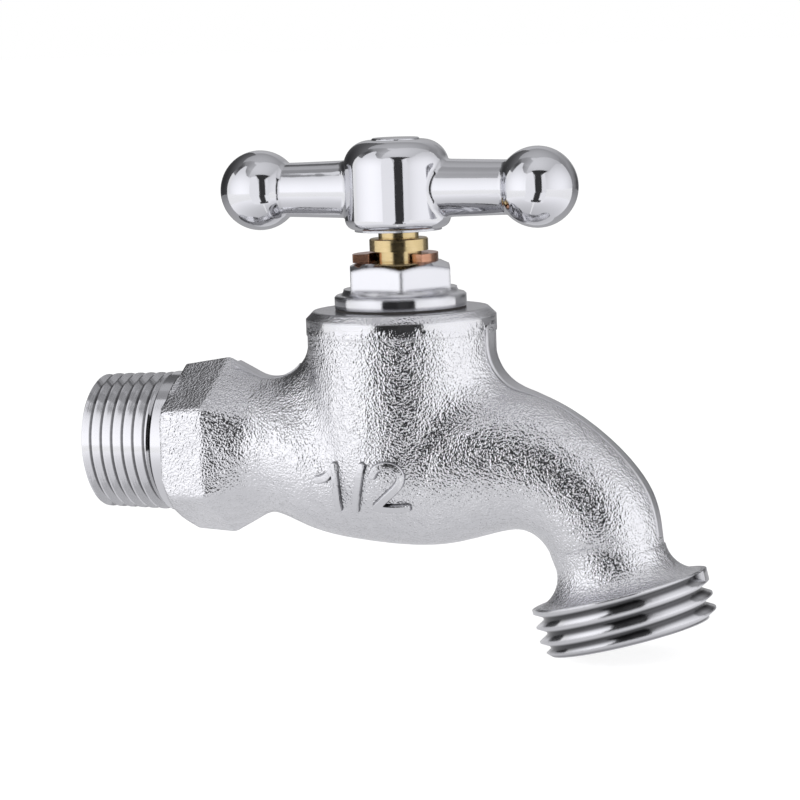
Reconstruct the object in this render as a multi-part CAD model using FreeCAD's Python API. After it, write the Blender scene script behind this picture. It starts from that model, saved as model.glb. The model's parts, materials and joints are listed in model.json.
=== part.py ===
import FreeCAD, Part
import math
import os

# Garden tap with a threaded inlet, a screw-down headwork, a T handle and a hose outlet. Millimetres.
# The origin is the centre of the inlet's end face. +X runs towards the spout, +Z is up along the spindle.

V = FreeCAD.Vector

# Inlet shank: half inch taper pipe thread, 14 turns to the inch, taper 1 in 16 on the diameter
INLET_THREAD_R = 10.36
INLET_TAPER = 1.0 / 32.0
INLET_PITCH = 25.4 / 14.0
INLET_THREAD_DEPTH = 1.1
INLET_THREAD_LENGTH = 11.3
INLET_RELIEF_LENGTH = 0.8
INLET_RELIEF_R = 9.7
INLET_BAND_R = 10.85
INLET_END_CHAMFER = 0.25
INLET_BORE_R = 7.0
INLET_BORE_CHAMFER = 0.5

# Cast hexagon behind the inlet thread, one corner up
HEX_START_X = 14.05
HEX_END_X = 21.2
HEX_FLATS_START = 22.6
HEX_FLATS_END = 24.0
HEX_DROP_START = 0.8
HEX_DROP_END = 0.5
HEX_CORNER_R = 1.5
HEX_FACE_CHAMFER_R = 12.1
HEX_FACE_CHAMFER_SLOPE = 1.25
HEX_RAMP_FILLET = 5.0

# Cast barrel and belly: the centre line's drop below the inlet axis and the radius
BARREL_START_X = 27.1
BARREL_R = 10.5
BARREL_DROP = 0.4
BELLY_R = 12.7
BELLY_DROP = 2.6
WALL = 2.6

# Stations between barrel and belly: shares of the way left to the spindle, of the drop and of the swelling
SHOULDER_STATIONS = [
    (0.75, 0.34, 0.2),
    (0.48, 0.82, 0.62),
]

# Headwork axis and the neck that holds it
SPINDLE_X = 49.8
NECK_R = 14.45
NECK_TOP_Z = 20.7
NECK_CHAMFER = 1.15
NECK_BAND_HEIGHT = 2.4
NECK_CAST_R = 14.3
NECK_FLARE_R = 7.2
GLOBE_DROP = 0.5

# Spout: stations behind the belly, as distance past the spindle, drop, lean of the section and radius
SPOUT_STATIONS = [
    (10.2, 2.2, 0.0, 12.2),
    (15.2, 1.95, 3.0, 11.3),
    (20.0, 2.5, 10.0, 10.3),
    (25.2, 5.05, 24.5, 9.45),
    (28.65, 8.2, 41.0, 9.15),
    (31.15, 11.8, 55.0, 8.95),
]
SPOUT_STRAIGHT = 2.5
SPOUT_TAPER = 0.1

# Hose outlet: three quarter inch garden hose thread, 11.5 turns to the inch
OUTLET_LEAN = 13.2
OUTLET_REACH = 35.0
OUTLET_DROP = 28.5
OUTLET_THREAD_R = 13.4
OUTLET_PITCH = 25.4 / 11.5
OUTLET_THREAD_DEPTH = 1.35
OUTLET_THREAD_LENGTH = 7.3
OUTLET_THREAD_START = 6.7
OUTLET_LIP = 1.0
OUTLET_LIP_CHAMFER = 1.2
OUTLET_FLARE_R = 5.0
OUTLET_BORE_R = 9.2
OUTLET_BORE_DEPTH = 8.0

# Valve seat inside the casting, on a wall across the waterway
SEAT_Z = -4.2
SEAT_PORT_R = 5.0
SEAT_RING_WIDTH = 1.3
SEAT_RING_HEIGHT = 0.8
PARTITION = 2.4
CHAMBER_R = 9.4
CHAMBER_TOP_Z = 10.5
PARTITION_REACH = 11.6
PARTITION_SLANT = 5.5
NECK_LEAD_IN = 0.7
NECK_SLEEVE_R = 11.0

# Bonnet: the headwork's body, screwed into the neck
BONNET_THREAD_R = 8.95
BONNET_PITCH = 1.5
BONNET_THREAD_DEPTH = 0.8
BONNET_THREAD_LENGTH = 7.6
BONNET_SHANK_STEP = 0.05
BONNET_SHANK_LENGTH = 16.4
BONNET_COLLAR_R = 10.0
BONNET_COLLAR_HEIGHT = 1.95
BONNET_COLLAR_BEVEL = 0.25
BONNET_RELIEF = 0.6
BONNET_HEX_FLATS = 15.0
BONNET_HEX_TURN = 22.0
BONNET_HEX_HEIGHT = 4.9
BONNET_TOP_R = 6.4
BONNET_TOP_SLOPE = 0.47
BONNET_FOOT_R = 8.6
BONNET_FOOT_FILLET = 0.9
BONNET_BORE_LENGTH = 10.75
GUIDE_R = 6.3
GASKET_THICKNESS = 0.3
GASKET_WIDTH = 0.65
GASKET_INSET = 0.1

# Spindle, turned from brass bar
SPINDLE_R = 4.45
SPINDLE_GROOVE_R = 3.4
SPINDLE_COLLAR_HEIGHT = 1.9
SPINDLE_NECK_R = 3.05
SPINDLE_NECK_LENGTH = 1.1
SPINDLE_SQUARE = 4.6
SPINDLE_SQUARE_LENGTH = 7.6
SPINDLE_FLANGE_R = 5.2
SPINDLE_FLANGE_HEIGHT = 1.45
SPINDLE_THREAD_R = 3.95
SPINDLE_THREAD_DEPTH = 0.75
SPINDLE_PITCH = 1.5
SPINDLE_ENGAGEMENT = 4.0
SPINDLE_BEVEL = 0.2
SPINDLE_RELIEF = 0.7
SPINDLE_RELIEF_STEP = 0.15
O_RING_CORE_R = 3.2
O_RING_GROOVE = 1.7
O_RING_DEPTHS = (7.25, 3.25)

# Clearances
RUN_GAP = 0.05
SLIDE_GAP = 0.1
THREAD_GAP = 0.1

# Copper retaining clip on the bonnet, pushed to one side of its groove
CLIP_WIDTH = 2.45
CLIP_PLAY = 0.65
CLIP_THICKNESS = 1.25
CLIP_RISE = 0.4
CLIP_OPENING = 116.0
CLIP_SIDE_GAP = 0.07
CLIP_SHIFT_TURN = 200.0

# Friction washer above the spindle's flange
FRICTION_THICKNESS = 0.6

# Valve carrier, which slides up the bonnet without turning, and the parts on its foot
VALVE_LIFT = 4.125
LIFT_SPARE = 0.475
CARRIER_FLOOR_SPARE = 0.275
CARRIER_RELIEF = 1.4
CARRIER_PLATE_R = 7.4
CARRIER_ROOF = 1.2
CARRIER_CUP_DEPTH = 1.6
SEAT_WASHER_R = 6.2
SEAT_WASHER_THICKNESS = 3.2
VALVE_SCREW_R = 1.5
VALVE_SCREW_HEAD_R = 2.75
VALVE_SCREW_HEAD_HEIGHT = 1.4
VALVE_SCREW_GRIP = 2.3
RETAINER_PORT_GAP = 1.0
RETAINER_THICKNESS = 0.7

# T handle: hub, two arms and two balls
HUB_HEIGHT = 13.7
HUB_R = 8.0
HUB_FOOT_R = 6.6
HUB_FOOT_HEIGHT = 0.3
HUB_LOWER_ROUND = 1.7
HUB_TOP_R = 4.0
HUB_DOME_HEIGHT = 4.0
ARM_HEIGHT = 6.3
ARM_HUB_R = 4.6
ARM_BALL_R = 4.0
ARM_FILLET = 1.0
BALL_R = 6.1
BALL_SPAN = 44.7
BALL_FILLET = 0.8
SOCKET_SPARE = 0.1
HUB_WEB = 1.2
HUB_RIM = 0.3
CAP_PROUD = 0.3
CAP_THICKNESS = 1.2
CAP_EDGE_R = 0.35
HANDLE_SCREW_R = 1.5
HANDLE_SCREW_HEAD_R = 2.9
HANDLE_SCREW_HEAD_HEIGHT = 1.8
HANDLE_SCREW_GRIP = 6.1
HANDLE_SCREW_SPARE = 0.3
SPRING_WASHER_THICKNESS = 0.8
SPRING_WASHER_SPLIT = 0.7
SCREW_SLOT = 0.8
SCREW_SLOT_DEPTH = 0.9
SCREW_HEAD_ROUND = 0.25

# Threads: flank angle, root width as a share of the pitch
THREAD_FLANK = math.radians(30.0)
THREAD_ROOT = 0.19
THREAD_OVERCUT = 0.12
INLET_THREAD_TURN = 0.0
OUTLET_THREAD_TURN = 180.0

# Construction: loft degree, nearness to a surface, margin beside the hexagon's ends, overlap of cuts
LOFT_DEGREE = 3
SKIN_TOLERANCE = 0.01
HEX_EDGE_MARGIN = 0.2
EDGE_POINTS = 6
EPS = 0.5

# Directions and angles
UP = V(0, 0, 1)
ALONG = V(1, 0, 0)
ORIGIN = V(0, 0, 0)
FULL_TURN = 360
THIRD_TURN = 120
SIXTH_TURN = 60
ROOT_HALF = math.sqrt(0.5)

# Places in the casting
SPINDLE_LINE = V(SPINDLE_X, 0, 0)
OUTLET_CENTRE = V(SPINDLE_X + OUTLET_REACH, 0, -OUTLET_DROP)
OUTLET_TURN = 180.0 - OUTLET_LEAN
SEAT_RING_R = SEAT_PORT_R + SEAT_RING_WIDTH
SPOUT_END_R = OUTLET_THREAD_R - OUTLET_FLARE_R

# Levels and radii of the headwork, from the neck's rim up
COLLAR_BOTTOM_Z = NECK_TOP_Z + GASKET_THICKNESS
COLLAR_TOP_Z = COLLAR_BOTTOM_Z + BONNET_COLLAR_HEIGHT
BONNET_TOP_Z = COLLAR_TOP_Z + BONNET_HEX_HEIGHT
BONNET_SHANK_Z = COLLAR_BOTTOM_Z - BONNET_SHANK_LENGTH
BONNET_SHANK_R = BONNET_THREAD_R - BONNET_THREAD_DEPTH - BONNET_SHANK_STEP
BONNET_THREAD_Z = COLLAR_BOTTOM_Z - BONNET_THREAD_LENGTH - BONNET_PITCH
GUIDE_TOP_Z = BONNET_TOP_Z - BONNET_BORE_LENGTH
GUIDE_FLAT = SPINDLE_FLANGE_R + SLIDE_GAP
FLANGE_TOP_Z = GUIDE_TOP_Z - FRICTION_THICKNESS - RUN_GAP
FLANGE_BOTTOM_Z = FLANGE_TOP_Z - SPINDLE_FLANGE_HEIGHT
O_RING_LEVELS = [BONNET_TOP_Z - depth for depth in O_RING_DEPTHS]
SPINDLE_RELIEF_R = SPINDLE_THREAD_R - SPINDLE_THREAD_DEPTH - SPINDLE_RELIEF_STEP
SPINDLE_COLLAR_Z = BONNET_TOP_Z + CLIP_THICKNESS + CLIP_RISE
SPINDLE_COLLAR_TOP_Z = SPINDLE_COLLAR_Z + SPINDLE_COLLAR_HEIGHT
CLIP_INNER_R = SPINDLE_GROOVE_R + CLIP_PLAY
CLIP_R = CLIP_INNER_R + CLIP_WIDTH
CLIP_SHIFT = CLIP_PLAY - CLIP_SIDE_GAP

# Levels and radii of the handle
HUB_BOTTOM_Z = SPINDLE_COLLAR_TOP_Z + SPINDLE_NECK_LENGTH
HUB_TOP_Z = HUB_BOTTOM_Z + HUB_HEIGHT
HUB_SHOULDER_Z = HUB_TOP_Z - HUB_DOME_HEIGHT
HANDLE_Z = HUB_BOTTOM_Z + ARM_HEIGHT
SQUARE_TOP_Z = HUB_BOTTOM_Z + SPINDLE_SQUARE_LENGTH
HUB_WEB_Z = SQUARE_TOP_Z + SOCKET_SPARE
HUB_WELL_Z = HUB_WEB_Z + HUB_WEB
HUB_WELL_R = HUB_TOP_R - HUB_RIM
CAP_TOP_Z = HUB_TOP_Z + CAP_PROUD
SPINDLE_HOLE_DEPTH = HANDLE_SCREW_GRIP + HANDLE_SCREW_SPARE
HANDLE_SCREW_LENGTH = HANDLE_SCREW_GRIP + SOCKET_SPARE + HUB_WEB + SPRING_WASHER_THICKNESS

# Levels and radii of the valve
CARRIER_TOP_Z = FLANGE_BOTTOM_Z - VALVE_LIFT - LIFT_SPARE
SPINDLE_END_Z = CARRIER_TOP_Z - SPINDLE_ENGAGEMENT
CARRIER_FLOOR_Z = SPINDLE_END_Z - VALVE_LIFT - CARRIER_FLOOR_SPARE
CUP_ROOF_Z = SEAT_Z + SEAT_WASHER_THICKNESS
CARRIER_PLATE_TOP_Z = CUP_ROOF_Z + CARRIER_ROOF
CARRIER_CUP_R = SEAT_WASHER_R + SLIDE_GAP
RETAINER_R = SEAT_PORT_R - RETAINER_PORT_GAP
VALVE_SCREW_LENGTH = SEAT_WASHER_THICKNESS + RETAINER_THICKNESS + VALVE_SCREW_GRIP


def ring_about(x, inner, outer, low, high):
    """Plain ring about the vertical axis at x."""
    body = Part.makeCylinder(outer, high - low, V(x, 0, low), UP)
    if inner <= 0:
        return body
    return body.cut(Part.makeCylinder(inner, high - low, V(x, 0, low), UP))


def ring(inner, outer, low, high):
    """Plain ring about the spindle."""
    return ring_about(SPINDLE_X, inner, outer, low, high)


def disc(radius, low, high):
    """Plain disc about the spindle."""
    return ring(0, radius, low, high)


def outline_face(start, steps, place):
    """Flat face from a start point and steps, each an end point or a pair of arc middle and end."""
    edges = []
    here = place(*start)
    for step in steps + [start]:
        if isinstance(step[0], tuple):
            middle = place(*step[0])
            end = place(*step[1])
            edges.append(Part.Arc(here, middle, end).toShape())
        else:
            end = place(*step)
            edges.append(Part.makeLine(here, end))
        here = end
    return Part.Face(Part.Wire(edges))


def turned_up(start, steps):
    """Solid turned about the spindle from an outline of radius and height."""
    face = outline_face(start, steps, lambda r, z: V(SPINDLE_X + r, 0, z))
    return face.revolve(SPINDLE_LINE, UP, FULL_TURN)


def turned_along(start, steps):
    """Solid turned about the inlet axis from an outline of x and radius."""
    face = outline_face(start, steps, lambda x, r: V(x, 0, r))
    return face.revolve(ORIGIN, ALONG, FULL_TURN)


def turned_local(start, steps):
    """Solid turned about Z from an outline of radius and height."""
    face = outline_face(start, steps, lambda r, z: V(r, 0, z))
    return face.revolve(ORIGIN, UP, FULL_TURN)


def helix_sweep(wide_r, deep_r, wide, narrow, pitch, length, taper=0.0, left=False):
    """Solid wound about Z from z = 0 up, with a trapezium section."""
    corners = [
        V(wide_r, 0, -wide / 2),
        V(deep_r, 0, -narrow / 2),
        V(deep_r, 0, narrow / 2),
        V(wide_r, 0, wide / 2),
    ]
    section = Part.makePolygon(corners + [corners[0]])
    angle = math.degrees(math.atan(taper))
    path = Part.Wire(Part.makeLongHelix(pitch, length, wide_r, angle, left))
    return path.makePipeShell([section], True, True)


def outer_groove(crest_r, depth, pitch, length, taper=0.0, left=False):
    """Groove that leaves an outside thread standing, its first turn centred on z = 0."""
    root = pitch * THREAD_ROOT
    slope = 2 * math.tan(THREAD_FLANK)
    wide_r = crest_r + THREAD_OVERCUT
    wide = root + slope * (depth + THREAD_OVERCUT)
    return helix_sweep(wide_r, crest_r - depth, wide, root, pitch, length, taper, left)


def inner_groove(crest_r, depth, pitch, length, left=False):
    """Groove of the matching inside thread, its first turn centred half a pitch above z = 0."""
    slope = 2 * math.tan(THREAD_FLANK)
    root_r = crest_r - depth
    wide_r = root_r + THREAD_GAP - THREAD_OVERCUT
    ridge = pitch * (1 - THREAD_ROOT) + THREAD_GAP
    wide = ridge + slope * (root_r - wide_r)
    narrow = ridge - slope * depth
    groove = helix_sweep(wide_r, crest_r + THREAD_GAP, wide, narrow, pitch, length, 0.0, left)
    groove.translate(V(0, 0, pitch / 2))
    return groove


def moved(shape, x, z):
    """Copy of a shape moved to a place in the middle plane."""
    copy = shape.copy()
    copy.translate(V(x, 0, z))
    return copy


def on_skin(shape, point):
    """True where a point lies on a solid's surface."""
    return shape.Shells[0].distToShape(Part.Vertex(point))[0] < SKIN_TOLERANCE


def shared_edges(joined, first, second):
    """Edges of a joined solid that run along the surfaces of both of its pieces."""
    return edges_where(joined, lambda q: on_skin(first, q) and on_skin(second, q))


def edges_where(shape, test):
    """Edges whose middle points pass a test."""
    found = []
    for edge in shape.Edges:
        if edge.Length < SKIN_TOLERANCE:
            continue
        points = edge.discretize(EDGE_POINTS)[1:-1]
        if all(test(q) for q in points):
            found.append(edge)
    return found


def hexagon(flats, centre, turn, across_x):
    """Six corner points about a centre, in the plane across X or across Z."""
    corner_r = flats / math.sqrt(3)
    points = []
    for step in range(6):
        angle = math.radians(turn + SIXTH_TURN * step)
        a = corner_r * math.cos(angle)
        b = corner_r * math.sin(angle)
        offset = V(0, b, a) if across_x else V(a, b, 0)
        points.append(centre.add(offset))
    return points


def closed(points):
    """Closed wire through corner points."""
    return Part.makePolygon(points + [points[0]])


def placed_at_outlet(shape):
    """Moves a shape built about Z, with its end face at z = 0 and leaving upwards, to the outlet."""
    copy = shape.copy()
    copy.rotate(ORIGIN, V(0, 1, 0), OUTLET_TURN)
    copy.translate(OUTLET_CENTRE)
    return copy


def station_circle(past, drop, lean, radius):
    """Circle across the casting's centre line at one station, in three arcs."""
    starts = range(0, FULL_TURN, THIRD_TURN)
    arcs = [Part.makeCircle(radius, ORIGIN, UP, turn, turn + THIRD_TURN) for turn in starts]
    circle = Part.Wire(arcs)
    circle.rotate(ORIGIN, V(0, 1, 0), 90 + lean)
    circle.translate(V(SPINDLE_X + past, 0, -drop))
    return circle


def casting_tube(inset):
    """Barrel, belly and spout as one smooth tube, with its surface set in by the inset."""
    start = BARREL_START_X - SPINDLE_X
    swell = BELLY_R - BARREL_R
    sink = BELLY_DROP - BARREL_DROP
    stations = [(start, BARREL_DROP, 0.0, BARREL_R)]
    for way, drop_share, swell_share in SHOULDER_STATIONS:
        drop = BARREL_DROP + sink * drop_share
        stations.append((start * way, drop, 0.0, BARREL_R + swell * swell_share))
    stations.append((0.0, BELLY_DROP, 0.0, BELLY_R))
    stations += SPOUT_STATIONS
    tilt = math.radians(OUTLET_LEAN)
    flare_back = OUTLET_THREAD_LENGTH + OUTLET_FLARE_R
    for back, extra in ((flare_back + SPOUT_STRAIGHT, SPOUT_TAPER), (flare_back, 0.0)):
        past = OUTLET_REACH - back * math.sin(tilt)
        drop = OUTLET_DROP - back * math.cos(tilt)
        stations.append((past, drop, 90.0 - OUTLET_LEAN, SPOUT_END_R + extra))
    wires = [station_circle(p, d, a, r - inset) for p, d, a, r in stations]
    return Part.makeLoft(wires, True, False, False, LOFT_DEGREE)


def inlet_shank():
    """Tapered threaded shank with its relief and the smooth band in front of the hexagon."""
    end = INLET_THREAD_LENGTH
    cone = Part.makeCone(INLET_THREAD_R, INLET_THREAD_R + end * INLET_TAPER, end)
    groove = outer_groove(
        INLET_THREAD_R, INLET_THREAD_DEPTH, INLET_PITCH, end + 2 * INLET_PITCH, INLET_TAPER
    )
    thread = cone.cut(moved(groove, 0, -INLET_PITCH))
    reach = INLET_END_CHAMFER + EPS
    bevel = Part.makeCone(INLET_THREAD_R - reach, INLET_THREAD_R + reach, 2 * reach, V(0, 0, -EPS))
    waste = Part.makeCylinder(INLET_THREAD_R + 3 * EPS, 2 * reach, V(0, 0, -EPS)).cut(bevel)
    thread = thread.cut(waste)
    thread.rotate(ORIGIN, UP, INLET_THREAD_TURN)
    thread.rotate(ORIGIN, V(0, 1, 0), 90)
    relief = Part.makeCylinder(INLET_RELIEF_R, INLET_RELIEF_LENGTH, V(end, 0, 0), ALONG)
    band_x = end + INLET_RELIEF_LENGTH
    band = Part.makeCylinder(INLET_BAND_R, HEX_START_X + EPS - band_x, V(band_x, 0, 0), ALONG)
    return thread.fuse(relief.fuse(band))


def inlet_hexagon():
    """Cast hexagon, its turned face and the ramp down to the barrel."""
    front = hexagon(HEX_FLATS_START, V(HEX_START_X, 0, -HEX_DROP_START), 0, True)
    rear = hexagon(HEX_FLATS_END, V(HEX_END_X, 0, -HEX_DROP_END), 0, True)
    prism = Part.makeLoft([closed(front), closed(rear)], True, True)
    arcs = []
    centre = V(BARREL_START_X, 0, -BARREL_DROP)
    for step in range(6):
        angles = [math.radians(SIXTH_TURN * (step + part)) for part in (0, 0.5, 1)]
        points = [centre.add(V(0, BARREL_R * math.sin(a), BARREL_R * math.cos(a))) for a in angles]
        arcs.append(Part.Arc(*points).toShape())
    ramp = Part.makeLoft([closed(rear), Part.Wire(arcs)], True, True)
    cast = prism.fuse(ramp)
    low = HEX_START_X + HEX_EDGE_MARGIN
    high = BARREL_START_X - HEX_EDGE_MARGIN
    edges = edges_where(cast, lambda q: low < q.x < high)
    edges += edges_where(cast, lambda q: abs(q.x - HEX_END_X) < SKIN_TOLERANCE)
    return cast, edges


def neck_and_globe():
    """Neck with its machined band and chamfered rim, running down into the globe."""
    band_z = NECK_TOP_Z - NECK_CHAMFER - NECK_BAND_HEIGHT
    neck = turned_up((0, -GLOBE_DROP), [
        (NECK_CAST_R, -GLOBE_DROP),
        (NECK_CAST_R, band_z),
        (NECK_R, band_z),
        (NECK_R, NECK_TOP_Z - NECK_CHAMFER),
        (NECK_R - NECK_CHAMFER, NECK_TOP_Z),
        (0, NECK_TOP_Z),
    ])
    globe = Part.makeSphere(NECK_CAST_R, V(SPINDLE_X, 0, -GLOBE_DROP))
    return neck.fuse(globe).removeSplitter()


def outlet_end():
    """Flare, hose thread and plain lip, built about Z with the end face at z = 0."""
    length = OUTLET_THREAD_LENGTH
    start = OUTLET_THREAD_START
    blank = Part.makeCylinder(OUTLET_THREAD_R, length, V(0, 0, -length))
    groove = outer_groove(OUTLET_THREAD_R, OUTLET_THREAD_DEPTH, OUTLET_PITCH, start + OUTLET_PITCH)
    thread = blank.cut(moved(groove, 0, -start))
    lip_r = OUTLET_THREAD_R - OUTLET_LIP_CHAMFER
    bevel_z = -OUTLET_LIP - EPS
    bevel = Part.makeCone(lip_r - bevel_z, lip_r - EPS, EPS - bevel_z, V(0, 0, bevel_z))
    low = Part.makeCylinder(2 * OUTLET_THREAD_R, length, V(0, 0, -length - OUTLET_LIP))
    thread = thread.common(bevel.fuse(low))
    thread.rotate(ORIGIN, UP, OUTLET_THREAD_TURN)
    flare_z = -length - OUTLET_FLARE_R
    middle = OUTLET_FLARE_R * (1 - ROOT_HALF)
    flare = turned_local((0, flare_z), [
        (SPOUT_END_R, flare_z),
        ((SPOUT_END_R + middle, -length - middle), (OUTLET_THREAD_R, -length)),
        (0, -length),
    ])
    return thread.fuse(flare)


def casting_outside():
    """Outside of the casting from the hexagon's face to the start of the outlet's flare."""
    tube = casting_tube(0)
    globe = neck_and_globe()
    joined = tube.fuse(globe)
    joined = joined.makeFillet(NECK_FLARE_R, shared_edges(joined, tube, globe))
    cast_hex, edges = inlet_hexagon()
    cast_hex = cast_hex.makeFillet(HEX_CORNER_R, edges)
    corner_r = HEX_FLATS_END / math.sqrt(3) + HEX_DROP_START
    limit_x = HEX_START_X + (corner_r - HEX_FACE_CHAMFER_R) / HEX_FACE_CHAMFER_SLOPE
    turned_face = turned_along((HEX_START_X, 0), [
        (HEX_START_X, HEX_FACE_CHAMFER_R),
        (limit_x, corner_r),
        (BARREL_START_X + EPS, corner_r),
        (BARREL_START_X + EPS, 0),
    ])
    joined = joined.fuse(cast_hex.common(turned_face))
    rim = edges_where(joined, lambda q: abs(q.x - BARREL_START_X) < SKIN_TOLERANCE)
    return joined.makeFillet(HEX_RAMP_FILLET, rim)


def inlet_hole(reach):
    """Inlet bore from in front of the end face, with its bevelled mouth."""
    hole = Part.makeCylinder(INLET_BORE_R, reach + EPS, V(-EPS, 0, 0), ALONG)
    mouth_r = INLET_BORE_R + INLET_BORE_CHAMFER
    mouth = Part.makeCone(mouth_r + EPS, INLET_BORE_R, INLET_BORE_CHAMFER + EPS, V(-EPS, 0, 0), ALONG)
    return hole.fuse(mouth)


def outlet_hole():
    """Outlet bore and the cone that narrows to the spout's passage."""
    back = OUTLET_THREAD_LENGTH + OUTLET_FLARE_R
    inner_end = SPOUT_END_R - WALL + EPS / 2
    return placed_at_outlet(turned_local((0, EPS), [
        (OUTLET_BORE_R, EPS),
        (OUTLET_BORE_R, -OUTLET_BORE_DEPTH),
        (inner_end, -back),
        (inner_end, -back - EPS),
        (0, -back - EPS),
    ]))


def waterway():
    """Hollow of the casting before the partition is put back."""
    chamber = disc(CHAMBER_R, -GLOBE_DROP, CHAMBER_TOP_Z)
    return casting_tube(WALL).fuse([inlet_hole(BARREL_START_X + EPS), chamber, outlet_hole()])


def partition(outside):
    """Wall across the hollow that carries the valve seat, with its port open."""
    top = SEAT_Z - SEAT_RING_HEIGHT
    low = top - PARTITION
    left = -PARTITION_REACH
    right = PARTITION_REACH
    roof = BELLY_R
    floor = -BELLY_DROP - BELLY_R
    corners = [
        (left - PARTITION_SLANT - PARTITION, roof),
        (left - PARTITION_SLANT, roof),
        (left + PARTITION, top),
        (right, top),
        (right, floor),
        (right - PARTITION, floor),
        (right - PARTITION, low),
        (left + PARTITION / 2, low),
    ]
    width = 2 * NECK_R
    points = [V(SPINDLE_X + x, -width / 2, z) for x, z in corners]
    wall = Part.Face(closed(points)).extrude(V(0, width, 0)).common(outside)
    wall = wall.fuse(disc(SEAT_RING_R, top, SEAT_Z))
    return wall.cut(disc(SEAT_PORT_R, low - EPS, SEAT_Z + EPS))


def neck_thread():
    """Threaded sleeve of the neck that takes the bonnet, and the hole that the sleeve fills."""
    bore_r = BONNET_THREAD_R - BONNET_THREAD_DEPTH + THREAD_GAP
    start = BONNET_THREAD_Z - 2 * BONNET_PITCH
    low = CHAMBER_TOP_Z - start
    high = NECK_TOP_Z - start
    sleeve = Part.makeCylinder(NECK_SLEEVE_R, high - low, V(0, 0, low))
    sleeve = sleeve.cut(Part.makeCylinder(bore_r, high, V(0, 0, low - EPS)))
    sleeve = sleeve.cut(inner_groove(BONNET_THREAD_R, BONNET_THREAD_DEPTH, BONNET_PITCH, high))
    lead_r = BONNET_THREAD_R + 2 * THREAD_GAP
    sleeve = sleeve.cut(Part.makeCylinder(lead_r, NECK_LEAD_IN + EPS, V(0, 0, high - NECK_LEAD_IN)))
    hole = disc(NECK_SLEEVE_R, CHAMBER_TOP_Z, NECK_TOP_Z + EPS)
    return moved(sleeve, SPINDLE_X, start), hole


def tap_body():
    """One casting: inlet shank, hexagon, barrel, globe, neck, spout and hose outlet."""
    outside = casting_outside()
    hollow = outside.cut(waterway()).fuse(partition(outside))
    sleeve, hole = neck_thread()
    hollow = hollow.cut(hole).fuse(sleeve)
    shank = inlet_shank().cut(inlet_hole(HEX_START_X + 2 * EPS))
    end = placed_at_outlet(outlet_end()).cut(outlet_hole())
    return hollow.fuse([shank, end])


def bonnet():
    """Headwork body: threaded shank, collar, hexagon, spindle bore and the flat-sided guide below."""
    corner_r = BONNET_HEX_FLATS / math.sqrt(3)
    shoulder_z = BONNET_TOP_Z - (corner_r - BONNET_TOP_R) * BONNET_TOP_SLOPE
    foot_centre = V(SPINDLE_X, 0, COLLAR_BOTTOM_Z)
    corners = hexagon(BONNET_HEX_FLATS, foot_centre, BONNET_HEX_TURN - 90, False)
    prism = Part.Face(closed(corners)).extrude(V(0, 0, BONNET_TOP_Z - COLLAR_BOTTOM_Z))
    crown = turned_up((0, COLLAR_BOTTOM_Z), [
        (corner_r + EPS, COLLAR_BOTTOM_Z),
        (corner_r + EPS, shoulder_z - EPS * BONNET_TOP_SLOPE),
        (BONNET_TOP_R, BONNET_TOP_Z),
        (0, BONNET_TOP_Z),
    ])
    foot = BONNET_FOOT_FILLET
    inner = BONNET_FOOT_R
    sweep = foot * (1 - ROOT_HALF)
    collar = turned_up((0, COLLAR_BOTTOM_Z), [
        (BONNET_COLLAR_R, COLLAR_BOTTOM_Z),
        (BONNET_COLLAR_R, COLLAR_TOP_Z - BONNET_COLLAR_BEVEL),
        (BONNET_COLLAR_R - BONNET_COLLAR_BEVEL, COLLAR_TOP_Z),
        (inner + foot, COLLAR_TOP_Z),
        ((inner + sweep, COLLAR_TOP_Z + sweep), (inner, COLLAR_TOP_Z + foot)),
        (0, COLLAR_TOP_Z + foot),
    ])
    start = BONNET_THREAD_Z
    thread_z = start + BONNET_PITCH
    thread_top = COLLAR_BOTTOM_Z - BONNET_RELIEF
    thread = Part.makeCylinder(BONNET_THREAD_R, thread_top - thread_z, V(0, 0, BONNET_PITCH))
    length = thread_top - start + BONNET_PITCH
    groove = outer_groove(BONNET_THREAD_R, BONNET_THREAD_DEPTH, BONNET_PITCH, length)
    thread = moved(thread.cut(groove), SPINDLE_X, start)
    shank = disc(BONNET_SHANK_R, BONNET_SHANK_Z, COLLAR_BOTTOM_Z)
    solid = prism.common(crown).fuse([collar, shank, thread])
    bore = disc(SPINDLE_R + RUN_GAP, GUIDE_TOP_Z - EPS, BONNET_TOP_Z + EPS)
    guide = flat_sided(GUIDE_R, GUIDE_FLAT, BONNET_SHANK_Z - EPS, GUIDE_TOP_Z)
    return solid.cut(bore).cut(guide)


def flat_sided(radius, flat, low, high):
    """Round bar about the spindle with two flats that face the front and the back."""
    slab = Part.makeBox(2 * radius, 2 * flat, high - low, V(SPINDLE_X - radius, -flat, low))
    return disc(radius, low, high).common(slab)


def bonnet_gasket():
    """Thin sealing ring between the bonnet's collar and the neck."""
    inner = BONNET_COLLAR_R - GASKET_INSET - GASKET_WIDTH
    return ring(inner, BONNET_COLLAR_R - GASKET_INSET, NECK_TOP_Z, COLLAR_BOTTOM_Z)


def spindle_clip():
    """Open copper ring in the spindle's groove, resting on the bonnet."""
    clip = Part.makeCylinder(CLIP_R, CLIP_THICKNESS, ORIGIN, UP, FULL_TURN - CLIP_OPENING)
    clip = clip.cut(Part.makeCylinder(CLIP_INNER_R, CLIP_THICKNESS))
    clip.rotate(ORIGIN, UP, CLIP_OPENING / 2 - 90)
    turn = math.radians(CLIP_SHIFT_TURN)
    shift = V(CLIP_SHIFT * math.cos(turn), CLIP_SHIFT * math.sin(turn), 0)
    clip.translate(shift.add(V(SPINDLE_X, 0, BONNET_TOP_Z)))
    return clip


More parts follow.
